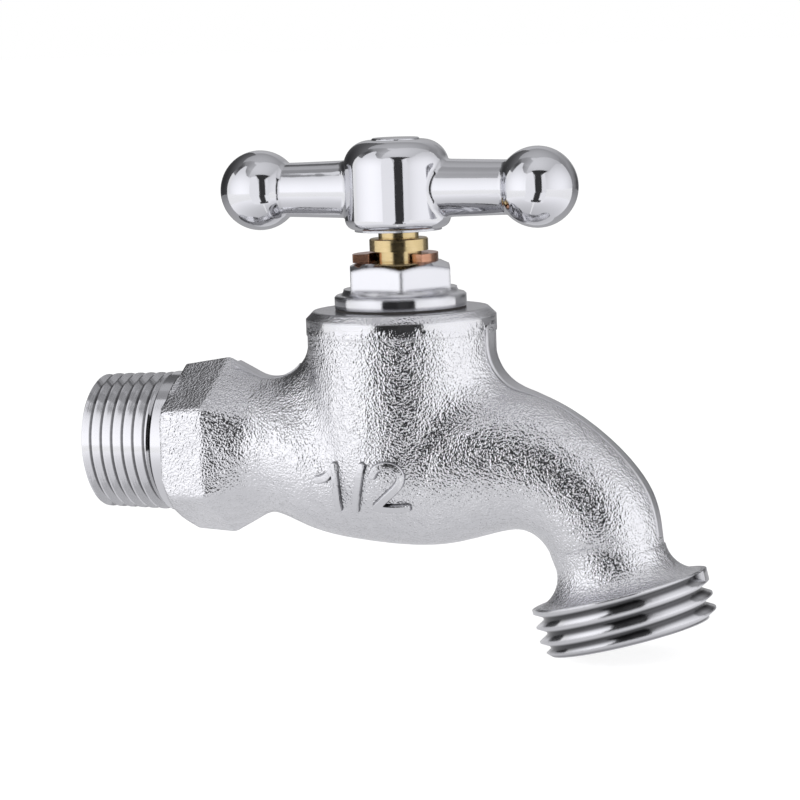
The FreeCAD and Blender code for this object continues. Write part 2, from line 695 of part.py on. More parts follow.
def spindle():
    """Turned spindle: square, neck, collar, clip groove, sealed barrel, flange and left-hand thread."""
    bar = turned_up((0, FLANGE_BOTTOM_Z), [
        (SPINDLE_FLANGE_R, FLANGE_BOTTOM_Z),
        (SPINDLE_FLANGE_R, FLANGE_TOP_Z),
        (SPINDLE_R, FLANGE_TOP_Z),
        (SPINDLE_R, BONNET_TOP_Z),
        (SPINDLE_GROOVE_R, BONNET_TOP_Z),
        (SPINDLE_GROOVE_R, SPINDLE_COLLAR_Z),
        (SPINDLE_R, SPINDLE_COLLAR_Z),
        (SPINDLE_R, SPINDLE_COLLAR_TOP_Z - SPINDLE_BEVEL),
        (SPINDLE_R - SPINDLE_BEVEL, SPINDLE_COLLAR_TOP_Z),
        (SPINDLE_NECK_R, SPINDLE_COLLAR_TOP_Z),
        (SPINDLE_NECK_R, HUB_BOTTOM_Z),
        (0, HUB_BOTTOM_Z),
    ])
    half = O_RING_GROOVE / 2
    for level in O_RING_LEVELS:
        bar = bar.cut(ring(O_RING_CORE_R, SPINDLE_R + EPS, level - half, level + half))
    square = square_bar(SPINDLE_SQUARE, HUB_BOTTOM_Z, SQUARE_TOP_Z)
    bar = bar.fuse(square.common(disc(SPINDLE_NECK_R, HUB_BOTTOM_Z, SQUARE_TOP_Z)))
    bar = bar.cut(disc(HANDLE_SCREW_R, SQUARE_TOP_Z - SPINDLE_HOLE_DEPTH, SQUARE_TOP_Z + EPS))
    return bar.fuse(spindle_thread())


def square_bar(side, low, high):
    """Square bar about the spindle."""
    return Part.makeBox(side, side, high - low, V(SPINDLE_X - side / 2, -side / 2, low))


def spindle_thread():
    """Left-hand thread below the flange that drives the valve carrier."""
    start = SPINDLE_END_Z - SPINDLE_PITCH
    length = FLANGE_BOTTOM_Z - SPINDLE_RELIEF - SPINDLE_END_Z
    blank = Part.makeCylinder(SPINDLE_THREAD_R, length, V(0, 0, SPINDLE_PITCH))
    wound = length + 2 * SPINDLE_PITCH
    groove = outer_groove(SPINDLE_THREAD_R, SPINDLE_THREAD_DEPTH, SPINDLE_PITCH, wound, 0.0, True)
    thread = moved(blank.cut(groove), SPINDLE_X, start)
    return thread.fuse(disc(SPINDLE_RELIEF_R, SPINDLE_END_Z + length, FLANGE_BOTTOM_Z))


def o_ring(level):
    """Seal ring squeezed between the spindle's groove and the bonnet's bore."""
    outer = SPINDLE_R + RUN_GAP / 2
    cord = (outer - O_RING_CORE_R) / 2
    return Part.makeTorus(O_RING_CORE_R + cord, cord, V(SPINDLE_X, 0, level), UP)


def friction_washer():
    """Low-friction ring between the spindle's flange and the bonnet."""
    return ring(SPINDLE_R + RUN_GAP, SPINDLE_FLANGE_R, FLANGE_TOP_Z, FLANGE_TOP_Z + FRICTION_THICKNESS)


def valve_carrier():
    """Flat-sided nut that the spindle lifts, with the cup for the seat washer on its foot."""
    stem_r = GUIDE_R - SLIDE_GAP
    stem = flat_sided(stem_r, GUIDE_FLAT - SLIDE_GAP, CARRIER_PLATE_TOP_Z - EPS, CARRIER_TOP_Z)
    plate_low = CUP_ROOF_Z - CARRIER_CUP_DEPTH
    plate = disc(CARRIER_PLATE_R, plate_low, CARRIER_PLATE_TOP_Z)
    solid = stem.fuse(plate).cut(disc(CARRIER_CUP_R, plate_low - EPS, CUP_ROOF_Z))
    bore_r = SPINDLE_THREAD_R - SPINDLE_THREAD_DEPTH + THREAD_GAP
    relief_r = SPINDLE_THREAD_R + 2 * THREAD_GAP
    relief_top = CARRIER_FLOOR_Z + CARRIER_RELIEF
    solid = solid.cut(disc(relief_r, CARRIER_FLOOR_Z, CARRIER_TOP_Z + EPS))
    turns_below = math.ceil((SPINDLE_END_Z - CARRIER_FLOOR_Z) / SPINDLE_PITCH)
    start = SPINDLE_END_Z - SPINDLE_PITCH * turns_below
    height = CARRIER_TOP_Z - relief_top
    low = relief_top - start
    sleeve = Part.makeCylinder(relief_r, height, V(0, 0, low))
    sleeve = sleeve.cut(Part.makeCylinder(bore_r, height + 2 * EPS, V(0, 0, low - EPS)))
    length = CARRIER_TOP_Z - start + SPINDLE_PITCH
    sleeve = sleeve.cut(inner_groove(SPINDLE_THREAD_R, SPINDLE_THREAD_DEPTH, SPINDLE_PITCH, length, True))
    solid = solid.fuse(moved(sleeve, SPINDLE_X, start))
    return solid.cut(disc(VALVE_SCREW_R, CUP_ROOF_Z - EPS, CARRIER_FLOOR_Z + EPS))


def seat_washer():
    """Rubber disc that closes on the seat."""
    return ring(VALVE_SCREW_R, SEAT_WASHER_R, SEAT_Z, CUP_ROOF_Z)


def washer_retainer():
    """Thin metal disc that holds the seat washer in its cup."""
    return ring(VALVE_SCREW_R, RETAINER_R, SEAT_Z - RETAINER_THICKNESS, SEAT_Z)


def slotted_screw(shank_r, length, head_r, head_height):
    """Screw about Z, head upwards, with the underside of its head at z = 0."""
    shank = Part.makeCylinder(shank_r, length, V(0, 0, -length))
    screw = Part.makeCylinder(head_r, head_height).fuse(shank)
    top = edges_where(screw, lambda q: abs(q.z - head_height) < SKIN_TOLERANCE)
    screw = screw.makeFillet(head_height * SCREW_HEAD_ROUND, top)
    reach = head_r + EPS
    corner = V(-reach, -SCREW_SLOT / 2, head_height - SCREW_SLOT_DEPTH)
    return screw.cut(Part.makeBox(2 * reach, SCREW_SLOT, head_height, corner))


def valve_screw():
    """Screw that fastens the seat washer and its retainer from below."""
    head = VALVE_SCREW_HEAD_HEIGHT
    screw = slotted_screw(VALVE_SCREW_R, VALVE_SCREW_LENGTH, VALVE_SCREW_HEAD_R, head)
    screw.rotate(ORIGIN, ALONG, 180)
    return moved(screw, SPINDLE_X, SEAT_Z - RETAINER_THICKNESS)


def handle():
    """Hub with its square socket, two tapered arms and two balls, one casting."""
    foot_z = HUB_BOTTOM_Z + HUB_FOOT_HEIGHT
    lower_r = HUB_FOOT_R + (HUB_R - HUB_FOOT_R) * ROOT_HALF
    lower_z = foot_z + HUB_LOWER_ROUND * (1 - ROOT_HALF)
    upper_r = HUB_TOP_R + (HUB_R - HUB_TOP_R) * ROOT_HALF
    upper_z = HUB_SHOULDER_Z + HUB_DOME_HEIGHT * ROOT_HALF
    solid = turned_up((0, HUB_BOTTOM_Z), [
        (HUB_FOOT_R, HUB_BOTTOM_Z),
        (HUB_FOOT_R, foot_z),
        ((lower_r, lower_z), (HUB_R, foot_z + HUB_LOWER_ROUND)),
        (HUB_R, HUB_SHOULDER_Z),
        ((upper_r, upper_z), (HUB_TOP_R, HUB_TOP_Z)),
        (0, HUB_TOP_Z),
    ])
    for side in (-1, 1):
        solid = handle_arm(solid, side)
    socket = square_bar(SPINDLE_SQUARE + 2 * RUN_GAP, HUB_BOTTOM_Z - EPS, HUB_WEB_Z)
    screw_hole = disc(HANDLE_SCREW_R + SLIDE_GAP, HUB_BOTTOM_Z, HUB_TOP_Z)
    well = disc(HUB_WELL_R, HUB_WELL_Z, HUB_TOP_Z + EPS)
    return solid.cut(socket).cut(screw_hole).cut(well)


def handle_arm(hub, side):
    """Adds one arm and its ball to the hub, with the fillets where they meet."""
    centre = V(SPINDLE_X, 0, HANDLE_Z)
    ball_x = BALL_SPAN / 2
    along = V(side, 0, 0)
    arm = Part.makeCone(ARM_HUB_R, ARM_BALL_R, ball_x, centre, along)
    ball = Part.makeSphere(BALL_R, centre.add(V(side * ball_x, 0, 0)))
    limb = arm.fuse(ball)
    limb = limb.makeFillet(BALL_FILLET, shared_edges(limb, arm, ball))
    joined = hub.fuse(limb)
    return joined.makeFillet(ARM_FILLET, shared_edges(joined, hub, limb))


def handle_cap():
    """Thin plug that closes the well in the top of the hub."""
    cap = disc(HUB_WELL_R - RUN_GAP, CAP_TOP_Z - CAP_THICKNESS, CAP_TOP_Z)
    rim = edges_where(cap, lambda q: abs(q.z - CAP_TOP_Z) < SKIN_TOLERANCE)
    return cap.makeFillet(CAP_EDGE_R, rim)


def spring_washer():
    """Split ring under the handle screw's head."""
    high = HUB_WELL_Z + SPRING_WASHER_THICKNESS
    washer = ring(HANDLE_SCREW_R + SLIDE_GAP, HANDLE_SCREW_HEAD_R, HUB_WELL_Z, high)
    reach = HANDLE_SCREW_HEAD_R + EPS
    gap = Part.makeBox(SPRING_WASHER_SPLIT, reach, SPRING_WASHER_THICKNESS + 2 * EPS)
    return washer.cut(moved(gap, SPINDLE_X - SPRING_WASHER_SPLIT / 2, HUB_WELL_Z - EPS))


def handle_screw():
    """Screw that holds the handle on the spindle's square."""
    head = HANDLE_SCREW_HEAD_HEIGHT
    screw = slotted_screw(HANDLE_SCREW_R, HANDLE_SCREW_LENGTH, HANDLE_SCREW_HEAD_R, head)
    return moved(screw, SPINDLE_X, HUB_WELL_Z + SPRING_WASHER_THICKNESS)


def main():
    """Builds every piece and writes it to its own file."""
    pieces = {
        "tap_body": tap_body,
        "bonnet": bonnet,
        "bonnet_gasket": bonnet_gasket,
        "spindle_clip": spindle_clip,
        "spindle": spindle,
        "spindle_o_ring_lower": lambda: o_ring(O_RING_LEVELS[0]),
        "spindle_o_ring_upper": lambda: o_ring(O_RING_LEVELS[1]),
        "friction_washer": friction_washer,
        "valve_carrier": valve_carrier,
        "seat_washer": seat_washer,
        "washer_retainer": washer_retainer,
        "valve_screw": valve_screw,
        "handle": handle,
        "handle_cap": handle_cap,
        "spring_washer": spring_washer,
        "handle_screw": handle_screw,
    }
    os.makedirs("parts", exist_ok=True)
    for name, build in pieces.items():
        shape = build()
        print(name, shape.isValid(), len(shape.Solids), round(shape.Volume, 1), flush=True)
        shape.exportStep("parts/" + name + ".step")


if __name__ == "__main__":
    main()
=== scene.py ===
"""The garden tap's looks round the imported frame: camera, studio, metals, size mark and parting lines."""

import json
import math

import bpy
from mathutils import Matrix, Vector
from mathutils.bvhtree import BVHTree
from mathutils.kdtree import KDTree


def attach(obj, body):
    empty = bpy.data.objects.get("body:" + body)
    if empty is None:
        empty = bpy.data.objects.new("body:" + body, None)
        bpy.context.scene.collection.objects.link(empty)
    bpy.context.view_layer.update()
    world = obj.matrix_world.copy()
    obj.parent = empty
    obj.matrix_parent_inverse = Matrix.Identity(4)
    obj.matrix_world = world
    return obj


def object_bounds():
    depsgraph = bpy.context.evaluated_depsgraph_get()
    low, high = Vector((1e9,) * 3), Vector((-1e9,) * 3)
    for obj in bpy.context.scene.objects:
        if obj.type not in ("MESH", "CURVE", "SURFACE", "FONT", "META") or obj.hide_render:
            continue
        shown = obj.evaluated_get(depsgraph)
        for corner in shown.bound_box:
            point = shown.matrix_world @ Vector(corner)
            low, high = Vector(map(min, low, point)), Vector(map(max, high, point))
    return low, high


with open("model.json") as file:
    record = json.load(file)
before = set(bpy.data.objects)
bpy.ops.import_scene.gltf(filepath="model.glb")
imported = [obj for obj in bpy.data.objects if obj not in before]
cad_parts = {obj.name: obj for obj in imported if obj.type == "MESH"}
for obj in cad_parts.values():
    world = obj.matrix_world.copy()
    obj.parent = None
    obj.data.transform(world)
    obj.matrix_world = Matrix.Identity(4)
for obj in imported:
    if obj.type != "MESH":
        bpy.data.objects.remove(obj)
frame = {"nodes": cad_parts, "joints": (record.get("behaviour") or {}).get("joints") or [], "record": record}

CAD_LOW, CAD_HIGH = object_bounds()
NODES = frame["nodes"]
JOINTS = {joint["name"]: joint for joint in frame["joints"]}
MOUNTS = {mount["name"]: mount for mount in frame["record"]["mounts"]}
MM = 0.001
UP = Vector((0, 0, 1))

# The camera, fitted to the photograph
CAMERA_AZIMUTH = math.radians(20.886)
CAMERA_ELEVATION = math.radians(6.581)
CAMERA_ROLL = math.radians(1.923)
CAMERA_DISTANCE = 0.527108
CAMERA_TARGET = Vector((0.049147, 0, 0.006682))
CAMERA_LENS = 156.19
CAMERA_SENSOR = 36

# Axes and threads of the tap, from the frame
HANDLE = Vector(JOINTS["spindle_turn"]["pos_m"])
SPINDLE = Vector((HANDLE.x, 0, 0))
INLET = Vector(MOUNTS["inlet_thread"]["pos_m"])
INLET_AXIS = Vector(MOUNTS["inlet_thread"]["axis"])
INLET_THREAD = MOUNTS["inlet_thread"]["dims"]
OUTLET = Vector(MOUNTS["outlet_thread"]["pos_m"])
OUTLET_AXIS = Vector(MOUNTS["outlet_thread"]["axis"])
OUTLET_THREAD = MOUNTS["outlet_thread"]["dims"]

# Where the casting is machined
INLET_TAPER = 1 / 32
INLET_THREAD_DEPTH = 1.1
INLET_ROOT_R = (INLET_THREAD["r_mm"] - INLET_THREAD_DEPTH) * MM
INLET_RUN_OUT = 2.6
CASTING_START_X = (INLET_THREAD["length_mm"] + INLET_RUN_OUT) * MM
OUTLET_THREAD_DEPTH = 1.35
OUTLET_ROOT_R = (OUTLET_THREAD["r_mm"] - OUTLET_THREAD_DEPTH) * MM
OUTLET_THREAD_LENGTH = OUTLET_THREAD["length_mm"] * MM
NECK_TOP_Z = 20.7 * MM
NECK_CHAMFER = 1.15 * MM
NECK_BEVEL_Z = NECK_TOP_Z - NECK_CHAMFER
NECK_BAND_HEIGHT = 2.4 * MM
NECK_BAND_Z = NECK_BEVEL_Z - NECK_BAND_HEIGHT


# Shading of materials and of the world


class Shading:
    """The shader nodes of a material or of the world, with short ways to add and link them."""

    def __init__(self, owner, output="ShaderNodeOutputMaterial"):
        owner.use_nodes = True
        self.tree = owner.node_tree
        self.tree.nodes.clear()
        self.surface = self.add(output).inputs["Surface"]

    def feed(self, value, socket):
        """Links an output to a socket, or sets a value on it."""
        if isinstance(value, bpy.types.NodeSocket):
            self.tree.links.new(value, socket)
        else:
            socket.default_value = value

    def add(self, kind, **inputs):
        """A new node whose named inputs are fed."""
        node = self.tree.nodes.new(kind)
        for name, value in inputs.items():
            self.feed(value, node.inputs[name.replace("_", " ")])
        return node

    def show(self, shader):
        """Makes that shader the look of the surface."""
        self.feed(shader.outputs[0], self.surface)

    def joined(self, kind, first, second):
        """A node that joins two shaders."""
        node = self.add(kind)
        sockets = [socket for socket in node.inputs if socket.type == "SHADER"]
        self.feed(first.outputs[0], sockets[0])
        self.feed(second.outputs[0], sockets[1])
        return node

    def maths(self, operation, first, second):
        """The sum, product or the like of two values."""
        node = self.add("ShaderNodeMath")
        node.operation = operation
        self.feed(first, node.inputs[0])
        self.feed(second, node.inputs[1])
        return node.outputs[0]

    def times(self, first, *others):
        """The product of several values."""
        for other in others:
            first = self.maths("MULTIPLY", first, other)
        return first

    def vector(self, operation, first, second=None):
        """A node that works on places or directions."""
        node = self.add("ShaderNodeVectorMath")
        node.operation = operation
        self.feed(first, node.inputs[0])
        if second is not None:
            self.feed(second, node.inputs[1])
        return node

    def ranged(self, value, low, high, to_low=0.0, to_high=1.0, smooth=False):
        """The value, moved from one range to another and held inside it."""
        ends = {"From_Min": low, "From_Max": high, "To_Min": to_low, "To_Max": to_high}
        node = self.add("ShaderNodeMapRange", Value=value, **ends)
        if smooth:
            node.interpolation_type = "SMOOTHSTEP"
        return node.outputs["Result"]


class Finish(Shading):
    """A material under construction: its shader, and short ways to add textures."""

    def __init__(self, name, metallic=1.0):
        self.material = bpy.data.materials.new(name)
        super().__init__(self.material)
        self.shader = self.add("ShaderNodeBsdfPrincipled", Metallic=metallic)
        self.show(self.shader)
        self.place = self.add("ShaderNodeTexCoord").outputs["Object"]

    def noise(self, size, detail=2.0, roughness=0.5, place=None):
        """Noise with cells of that size in metres."""
        look = {"Scale": 1 / size, "Detail": detail, "Roughness": roughness}
        return self.add("ShaderNodeTexNoise", Vector=place or self.place, **look).outputs["Fac"]

    def spread(self, noise, low, high):
        """A noise, spread from one value to another over its usual range."""
        return self.ranged(noise, 0.3, 0.7, low, high)

    def pebbles(self, size):
        """Rounded cells of that size in metres."""
        node = self.add("ShaderNodeTexVoronoi", Vector=self.place, Scale=1 / size)
        node.feature = "SMOOTH_F1"
        node.inputs["Smoothness"].default_value = 0.6
        return node.outputs["Distance"]

    def stretched(self, scale):
        """The place, scaled along each axis."""
        return self.vector("MULTIPLY", self.place, scale).outputs[0]

    def part(self, axis):
        """One coordinate of the place: 0, 1 or 2."""
        return self.add("ShaderNodeSeparateXYZ", Vector=self.place).outputs[axis]

    def along(self, point, direction):
        """How far a place lies beyond a point in that direction."""
        reach = self.vector("DOT_PRODUCT", self.place, direction).outputs["Value"]
        return self.maths("SUBTRACT", reach, point.dot(direction))

    def outward(self, point, direction):
        """The direction straight away from an axis, and the distance from it."""
        away = self.vector("SUBTRACT", self.place, point).outputs[0]
        along = self.vector("PROJECT", away, direction).outputs[0]
        across = self.vector("SUBTRACT", away, along).outputs[0]
        unit = self.vector("NORMALIZE", across).outputs[0]
        return unit, self.vector("LENGTH", across).outputs["Value"]

    def mix(self, share, first, second, kind="FLOAT"):
        """A mix of two numbers, directions or colours."""
        node = self.add("ShaderNodeMix", Factor=share)
        node.data_type = kind
        order = ("FLOAT", "VECTOR", "RGBA").index(kind)
        self.feed(first, node.inputs[2 + 2 * order])
        self.feed(second, node.inputs[3 + 2 * order])
        return node.outputs[order]

    def coloured(self, share, first, second):
        """A mix of two colours, each a triple or an output."""
        ends = [(*colour, 1) if isinstance(colour, tuple) else colour for colour in (first, second)]
        return self.mix(share, *ends, "RGBA")

    def between(self, share, first, second):
        """A direction between two others."""
        return self.vector("NORMALIZE", self.mix(share, first, second, "VECTOR")).outputs[0]

    def bump(self, height, depth, normal=None):
        """A height from 0 to 1 as a bump that many metres deep."""
        node = self.add("ShaderNodeBump", Distance=depth, Height=height)
        if normal:
            self.feed(normal, node.inputs["Normal"])
        return node.outputs[0]

    def rounded(self, radius):
        """The normal, rounded over edges by that radius."""
        node = self.add("ShaderNodeBevel", Radius=radius)
        node.samples = 6
        return node.outputs[0]

    def worn(self):
        """How strongly a place is an outer edge."""
        return self.ranged(self.add("ShaderNodeNewGeometry").outputs["Pointiness"], 0.52, 0.62)

    def finished(self, tone, rough, normal):
        """The finished material."""
        for name, value in (("Base Color", tone), ("Roughness", rough), ("Normal", normal)):
            self.feed(value, self.shader.inputs[name])
        return self.material


# Camera, light and cards of the studio

WHITE = (1, 1, 1, 1)
CARD_TINT = (0.975, 0.975, 1.0, 1)
ROOM_LIGHT = 0.45
FLOOR_Z = CAD_LOW.z - 0.0002
FLOOR_HALF = 6
FLOOR_TONE = (0.8, 0.8, 0.8, 1)
SHADOW_TONE = (0.4, 0.4, 0.4, 1)
SHADOW_LIFT = 0.86
ARC_STEP = 5


def toward(azimuth, elevation=0):
    """The direction at so many degrees to the right of the camera and above the horizon."""
    turn = CAMERA_AZIMUTH + math.radians(azimuth)
    rise = math.radians(elevation)
    level = Vector((math.sin(turn), -math.cos(turn), 0))
    return level * math.cos(rise) + UP * math.sin(rise)


def beside(azimuth, distance, height=0.0):
    """A place in that direction from the spindle."""
    return SPINDLE + toward(azimuth) * distance + UP * height


def make_camera():
    """The photograph's camera."""
    side = Vector((math.cos(CAMERA_AZIMUTH), math.sin(CAMERA_AZIMUTH), 0))
    back = toward(0, math.degrees(CAMERA_ELEVATION))
    up = back.cross(side)
    right = side * math.cos(CAMERA_ROLL) - up * math.sin(CAMERA_ROLL)
    top = side * math.sin(CAMERA_ROLL) + up * math.cos(CAMERA_ROLL)
    data = bpy.data.cameras.new("camera")
    data.lens = CAMERA_LENS
    data.sensor_width = CAMERA_SENSOR
    camera = bpy.data.objects.new("camera", data)
    bpy.context.scene.collection.objects.link(camera)
    camera.matrix_world = Matrix((right, top, back)).transposed().to_4x4()
    camera.location = CAMERA_TARGET + back * CAMERA_DISTANCE
    bpy.context.scene.camera = camera


def glow(name, radiance, centre=None, reach=1.0, edge_radiance=0.0):
    """An even light of that radiance for the cards of the studio, or one that fades away from its centre."""
    material = bpy.data.materials.new(name)
    shading = Shading(material)
    strength = radiance
    if centre is not None:
        place = shading.add("ShaderNodeTexCoord").outputs["Object"]
        away = shading.vector("DISTANCE", place, centre).outputs["Value"]
        strength = shading.ranged(away, 0.0, reach, radiance, edge_radiance, smooth=True)
    shading.show(shading.add("ShaderNodeEmission", Color=CARD_TINT, Strength=strength))
    return material


def reflected_card(name, points, faces, material):
    """A card that only metal and glass show."""
    mesh = bpy.data.meshes.new(name)
    mesh.from_pydata([tuple(p) for p in points], [], faces)
    mesh.materials.append(material)
    card = bpy.data.objects.new(name, mesh)
    bpy.context.scene.collection.objects.link(card)
    card.visible_camera = False
    card.visible_diffuse = False
    card.visible_shadow = False
    return card


def flat_card(name, points, material):
    """A flat card through those points."""
    return reflected_card(name, points, [tuple(range(len(points)))], material)


def lighting_card(name, points, material):
    """A flat card whose light falls on everything, and which the camera doesn't see."""
    card = flat_card(name, points, material)
    card.visible_diffuse = True
    card.visible_shadow = True
    return card


def round_azimuths(arc):
    """Evenly spaced azimuths of an arc."""
    first, last = arc
    return range(first, last + 1, ARC_STEP)


def fan(name, arc, radius, height, material, inner=0.0):
    """A level card round the spindle, over an arc of azimuths."""
    azimuths = round_azimuths(arc)
    rim = [beside(a, radius, height) for a in azimuths]
    hole = [beside(a, inner, height) for a in reversed(azimuths)] if inner else [beside(0, 0, height)]
    flat_card(name, rim + hole, material)


def wall(name, arc, radius, low, high, material):
    """Upright cards in a ring round the spindle, over an arc of azimuths."""
    points = [beside(a, radius, z) for a in round_azimuths(arc) for z in (low, high)]
    faces = [(i, i + 2, i + 3, i + 1) for i in range(0, len(points) - 2, 2)]
    reflected_card(name, points, faces, material)


def seen_white(shading, plain, shown):
    """A shader that is one thing for most rays, and another where the camera or a metal sees it."""
    rays = shading.add("ShaderNodeLightPath").outputs
    seen = shading.maths("MAXIMUM", rays["Is Camera Ray"], rays["Is Glossy Ray"])
    seen = shading.maths("MAXIMUM", seen, rays["Is Transmission Ray"])
    both = shading.joined("ShaderNodeMixShader", plain, shown)
    shading.feed(seen, both.inputs[0])
    return both


def make_world():
    """A white room to the eye and to metal, and a weaker even light on everything else."""
    world = bpy.data.worlds.new("room")
    bpy.context.scene.world = world
    shading = Shading(world, "ShaderNodeOutputWorld")
    plain = shading.add("ShaderNodeBackground", Color=WHITE, Strength=ROOM_LIGHT)
    shown = shading.add("ShaderNodeBackground", Color=WHITE, Strength=1.0)
    shading.show(seen_white(shading, plain, shown))


def make_floor():
    """A pale floor that takes the tap's shadow and is otherwise as white as the room."""
    material = bpy.data.materials.new("floor")
    shading = Shading(material)
    plain = shading.add("ShaderNodeBsdfDiffuse", Color=FLOOR_TONE)
    shadowed = shading.add("ShaderNodeBsdfDiffuse", Color=SHADOW_TONE)
    lift = shading.add("ShaderNodeEmission", Strength=SHADOW_LIFT)
    both = shading.joined("ShaderNodeAddShader", shadowed, lift)
    shading.show(seen_white(shading, plain, both))
    corners = ((-1, -1), (1, -1), (1, 1), (-1, 1))
    points = [(x * FLOOR_HALF, y * FLOOR_HALF, FLOOR_Z) for x, y in corners]
    lighting_card("floor", points, material).visible_camera = True


# Two soft boxes: azimuth, outline in azimuths and elevations, radiance in the middle and at the edge
PANEL_DISTANCE = 0.6
PANEL_REACH = 0.85
PANEL_LEFT = (
    (-15, -34), (-15, 34), (-30, 38), (-49, 43), (-66, 53), (-83, 63),
    (-97, 58), (-99, 0), (-97, -48), (-70, -54), (-40, -46),
)
PANEL_RIGHT = (
    (14, -38), (14, 34), (40, 42), (66, 50), (90, 50),
    (108, 38), (111, 0), (106, -44), (75, -54), (40, -50),
)
PANELS = (
    ("panel_left", -56, PANEL_LEFT, 1.42, 0.95),
    ("panel_right", 62, PANEL_RIGHT, 1.26, 0.8),
)


def make_panels():
    """Two large soft boxes, left and right of the camera."""
    for name, azimuth, outline, radiance, edge_radiance in PANELS:
        facing = toward(azimuth)
        rays = [toward(*corner) for corner in outline]
        points = [SPINDLE + ray * (PANEL_DISTANCE / ray.dot(facing)) for ray in rays]
        centre = SPINDLE + facing * PANEL_DISTANCE
        lighting_card(name, points, glow(name, radiance, centre, PANEL_REACH, edge_radiance))


# The gap between the soft boxes: layers of cards, in azimuths and elevations as the handle sees them
GAP_DISTANCE = 0.3
GAP_START = 0.085
GAP_LAYER = 0.002
FLOOR_LAYER = 0.001
HANDLE_GAP = (-5.5, 13)
BODY_GAP = (-33, 25)
GAP_LOW = -13.2
GAP_TOP = 50
SHOULDER = 45
LEAN_LEFT = (-27, 58)
LEAN_RIGHT = (12, 46)
STEM_TOP = 34
STEM_HEAD = ((38, 49), (-20, 49))
STEM_ON_FLOOR = (-7, 10)
STEM_START = 0.1
FOOT = (-12, 17)
FOOT_NEAR = 0.088
FOOT_FAR = 0.108
GAP_GREY = 0.8
GAP_WHITE = 1.2
GAP_PALE = 1.12
BLACK = 0.02
HAZE_RADIANCE = 0.3
HAZE_SHARE = 0.1


def haze():
    """A faint even light that lets most of what lies behind it through."""
    material = bpy.data.materials.new("haze")
    shading = Shading(material)
    clear = shading.add("ShaderNodeBsdfTransparent")
    light = shading.add("ShaderNodeEmission", Color=CARD_TINT, Strength=HAZE_RADIANCE)
    both = shading.joined("ShaderNodeMixShader", clear, light)
    both.inputs[0].default_value = HAZE_SHARE
    shading.show(both)
    return material


def framed(corners, layer):
    """Points of an upright card of the gap, so many layers before the hindmost."""
    distance = GAP_DISTANCE - layer * GAP_LAYER
    start = HANDLE + toward(0) * distance
    flat = [[math.tan(math.radians(angle)) * distance for angle in corner] for corner in corners]
    return [start + toward(90) * x + UP * z for x, z in flat]


def lying(azimuths, near, far, layer):
    """Points of a card that lies in front of the tap, so many layers above the floor."""
    start = SPINDLE + UP * (FLOOR_Z + layer * FLOOR_LAYER)
    left, right = [toward(0) + toward(90) * math.tan(math.radians(a)) for a in azimuths]
    return [start + left * near, start + right * near, start + right * far, start + left * far]


def leaning_edge(start, lean, top):
    """An edge that leaves the gap's stem along an ellipse, from level to below an elevation."""
    width, rise = lean
    elevations = range(0, top, ARC_STEP)
    return [(start + width * (1 - math.sqrt(1 - (e / rise) ** 2)), e) for e in elevations]


def make_gap():
    """The dark gap between the soft boxes: a narrow I to the handle, and wide to all below it."""
    left, right = HANDLE_GAP
    wide_left, wide_right = BODY_GAP
    whole = [(wide_left, GAP_LOW), (wide_right, GAP_LOW), (wide_right, GAP_TOP), (wide_left, GAP_TOP)]
    edge_left = leaning_edge(left, LEAN_LEFT, GAP_TOP)
    at_left = [(wide_left, GAP_LOW), (left, GAP_LOW), *edge_left, (wide_left, SHOULDER)]
    edge_right = leaning_edge(right, LEAN_RIGHT, SHOULDER + 1)
    at_right = [(wide_right, GAP_LOW), (right, GAP_LOW), *edge_right, (wide_right, SHOULDER)]
    stem = [(left, GAP_LOW), (right, GAP_LOW), (right, STEM_TOP), *STEM_HEAD, (left, STEM_TOP)]
    white = glow("gap_white", GAP_WHITE)
    fills = (
        flat_card("gap_grey", framed(whole, 0), glow("gap_grey", GAP_GREY)),
        flat_card("gap_left", framed(at_left, 1), white),
        flat_card("gap_right", framed(at_right, 1), glow("gap_pale", GAP_PALE)),
        flat_card("gap_floor", lying(BODY_GAP, GAP_START, GAP_DISTANCE, 1), white),
    )
    for_handle = bpy.data.collections.new("for_handle")
    for name in ("handle", "handle_cap"):
        for_handle.objects.link(NODES[name])
    for fill in fills:
        fill.light_linking.receiver_collection = for_handle
    black = glow("card_black", BLACK)
    flat_card("gap_stem", framed(stem, 2), black)
    flat_card("gap_stem_floor", lying(STEM_ON_FLOOR, STEM_START, GAP_DISTANCE, 2), black)
    flat_card("gap_foot", lying(FOOT, FOOT_NEAR, FOOT_FAR, 2), black)
    thin = haze()
    flat_card("gap_haze", framed(whole, 3), thin)
    flat_card("gap_haze_floor", lying(BODY_GAP, GAP_START, GAP_DISTANCE, 3), thin)


# The room round the soft boxes
ALL_ROUND = (0, 355)
AHEAD = (-110, 110)
BEHIND = (110, 250)
CORNER_LEFT = (190, 250)
CORNER_RIGHT = (122, 157)
SHADE_ARC = (235, 320)
CEILING_Z = 1.4
CEILING_RADIUS = 1.7
BACK_RADIUS = 1.5
CORNER_RADIUS = 0.7
CORNER_LOW = -0.2
CORNER_LEFT_TOP = 0.95
CORNER_RIGHT_TOP = 0.4
SHADE_RADIUS = 0.75
SHADE_LOW = 0.5
SHADE_TOP = 1.38
SHADE_INNER = 0.25
MAT_RADIUS = 0.17
MAT_Z = FLOOR_Z + 0.0005
MAT_BACK_Z = FLOOR_Z + 0.0008
MAT_BACK_INNER = 0.06


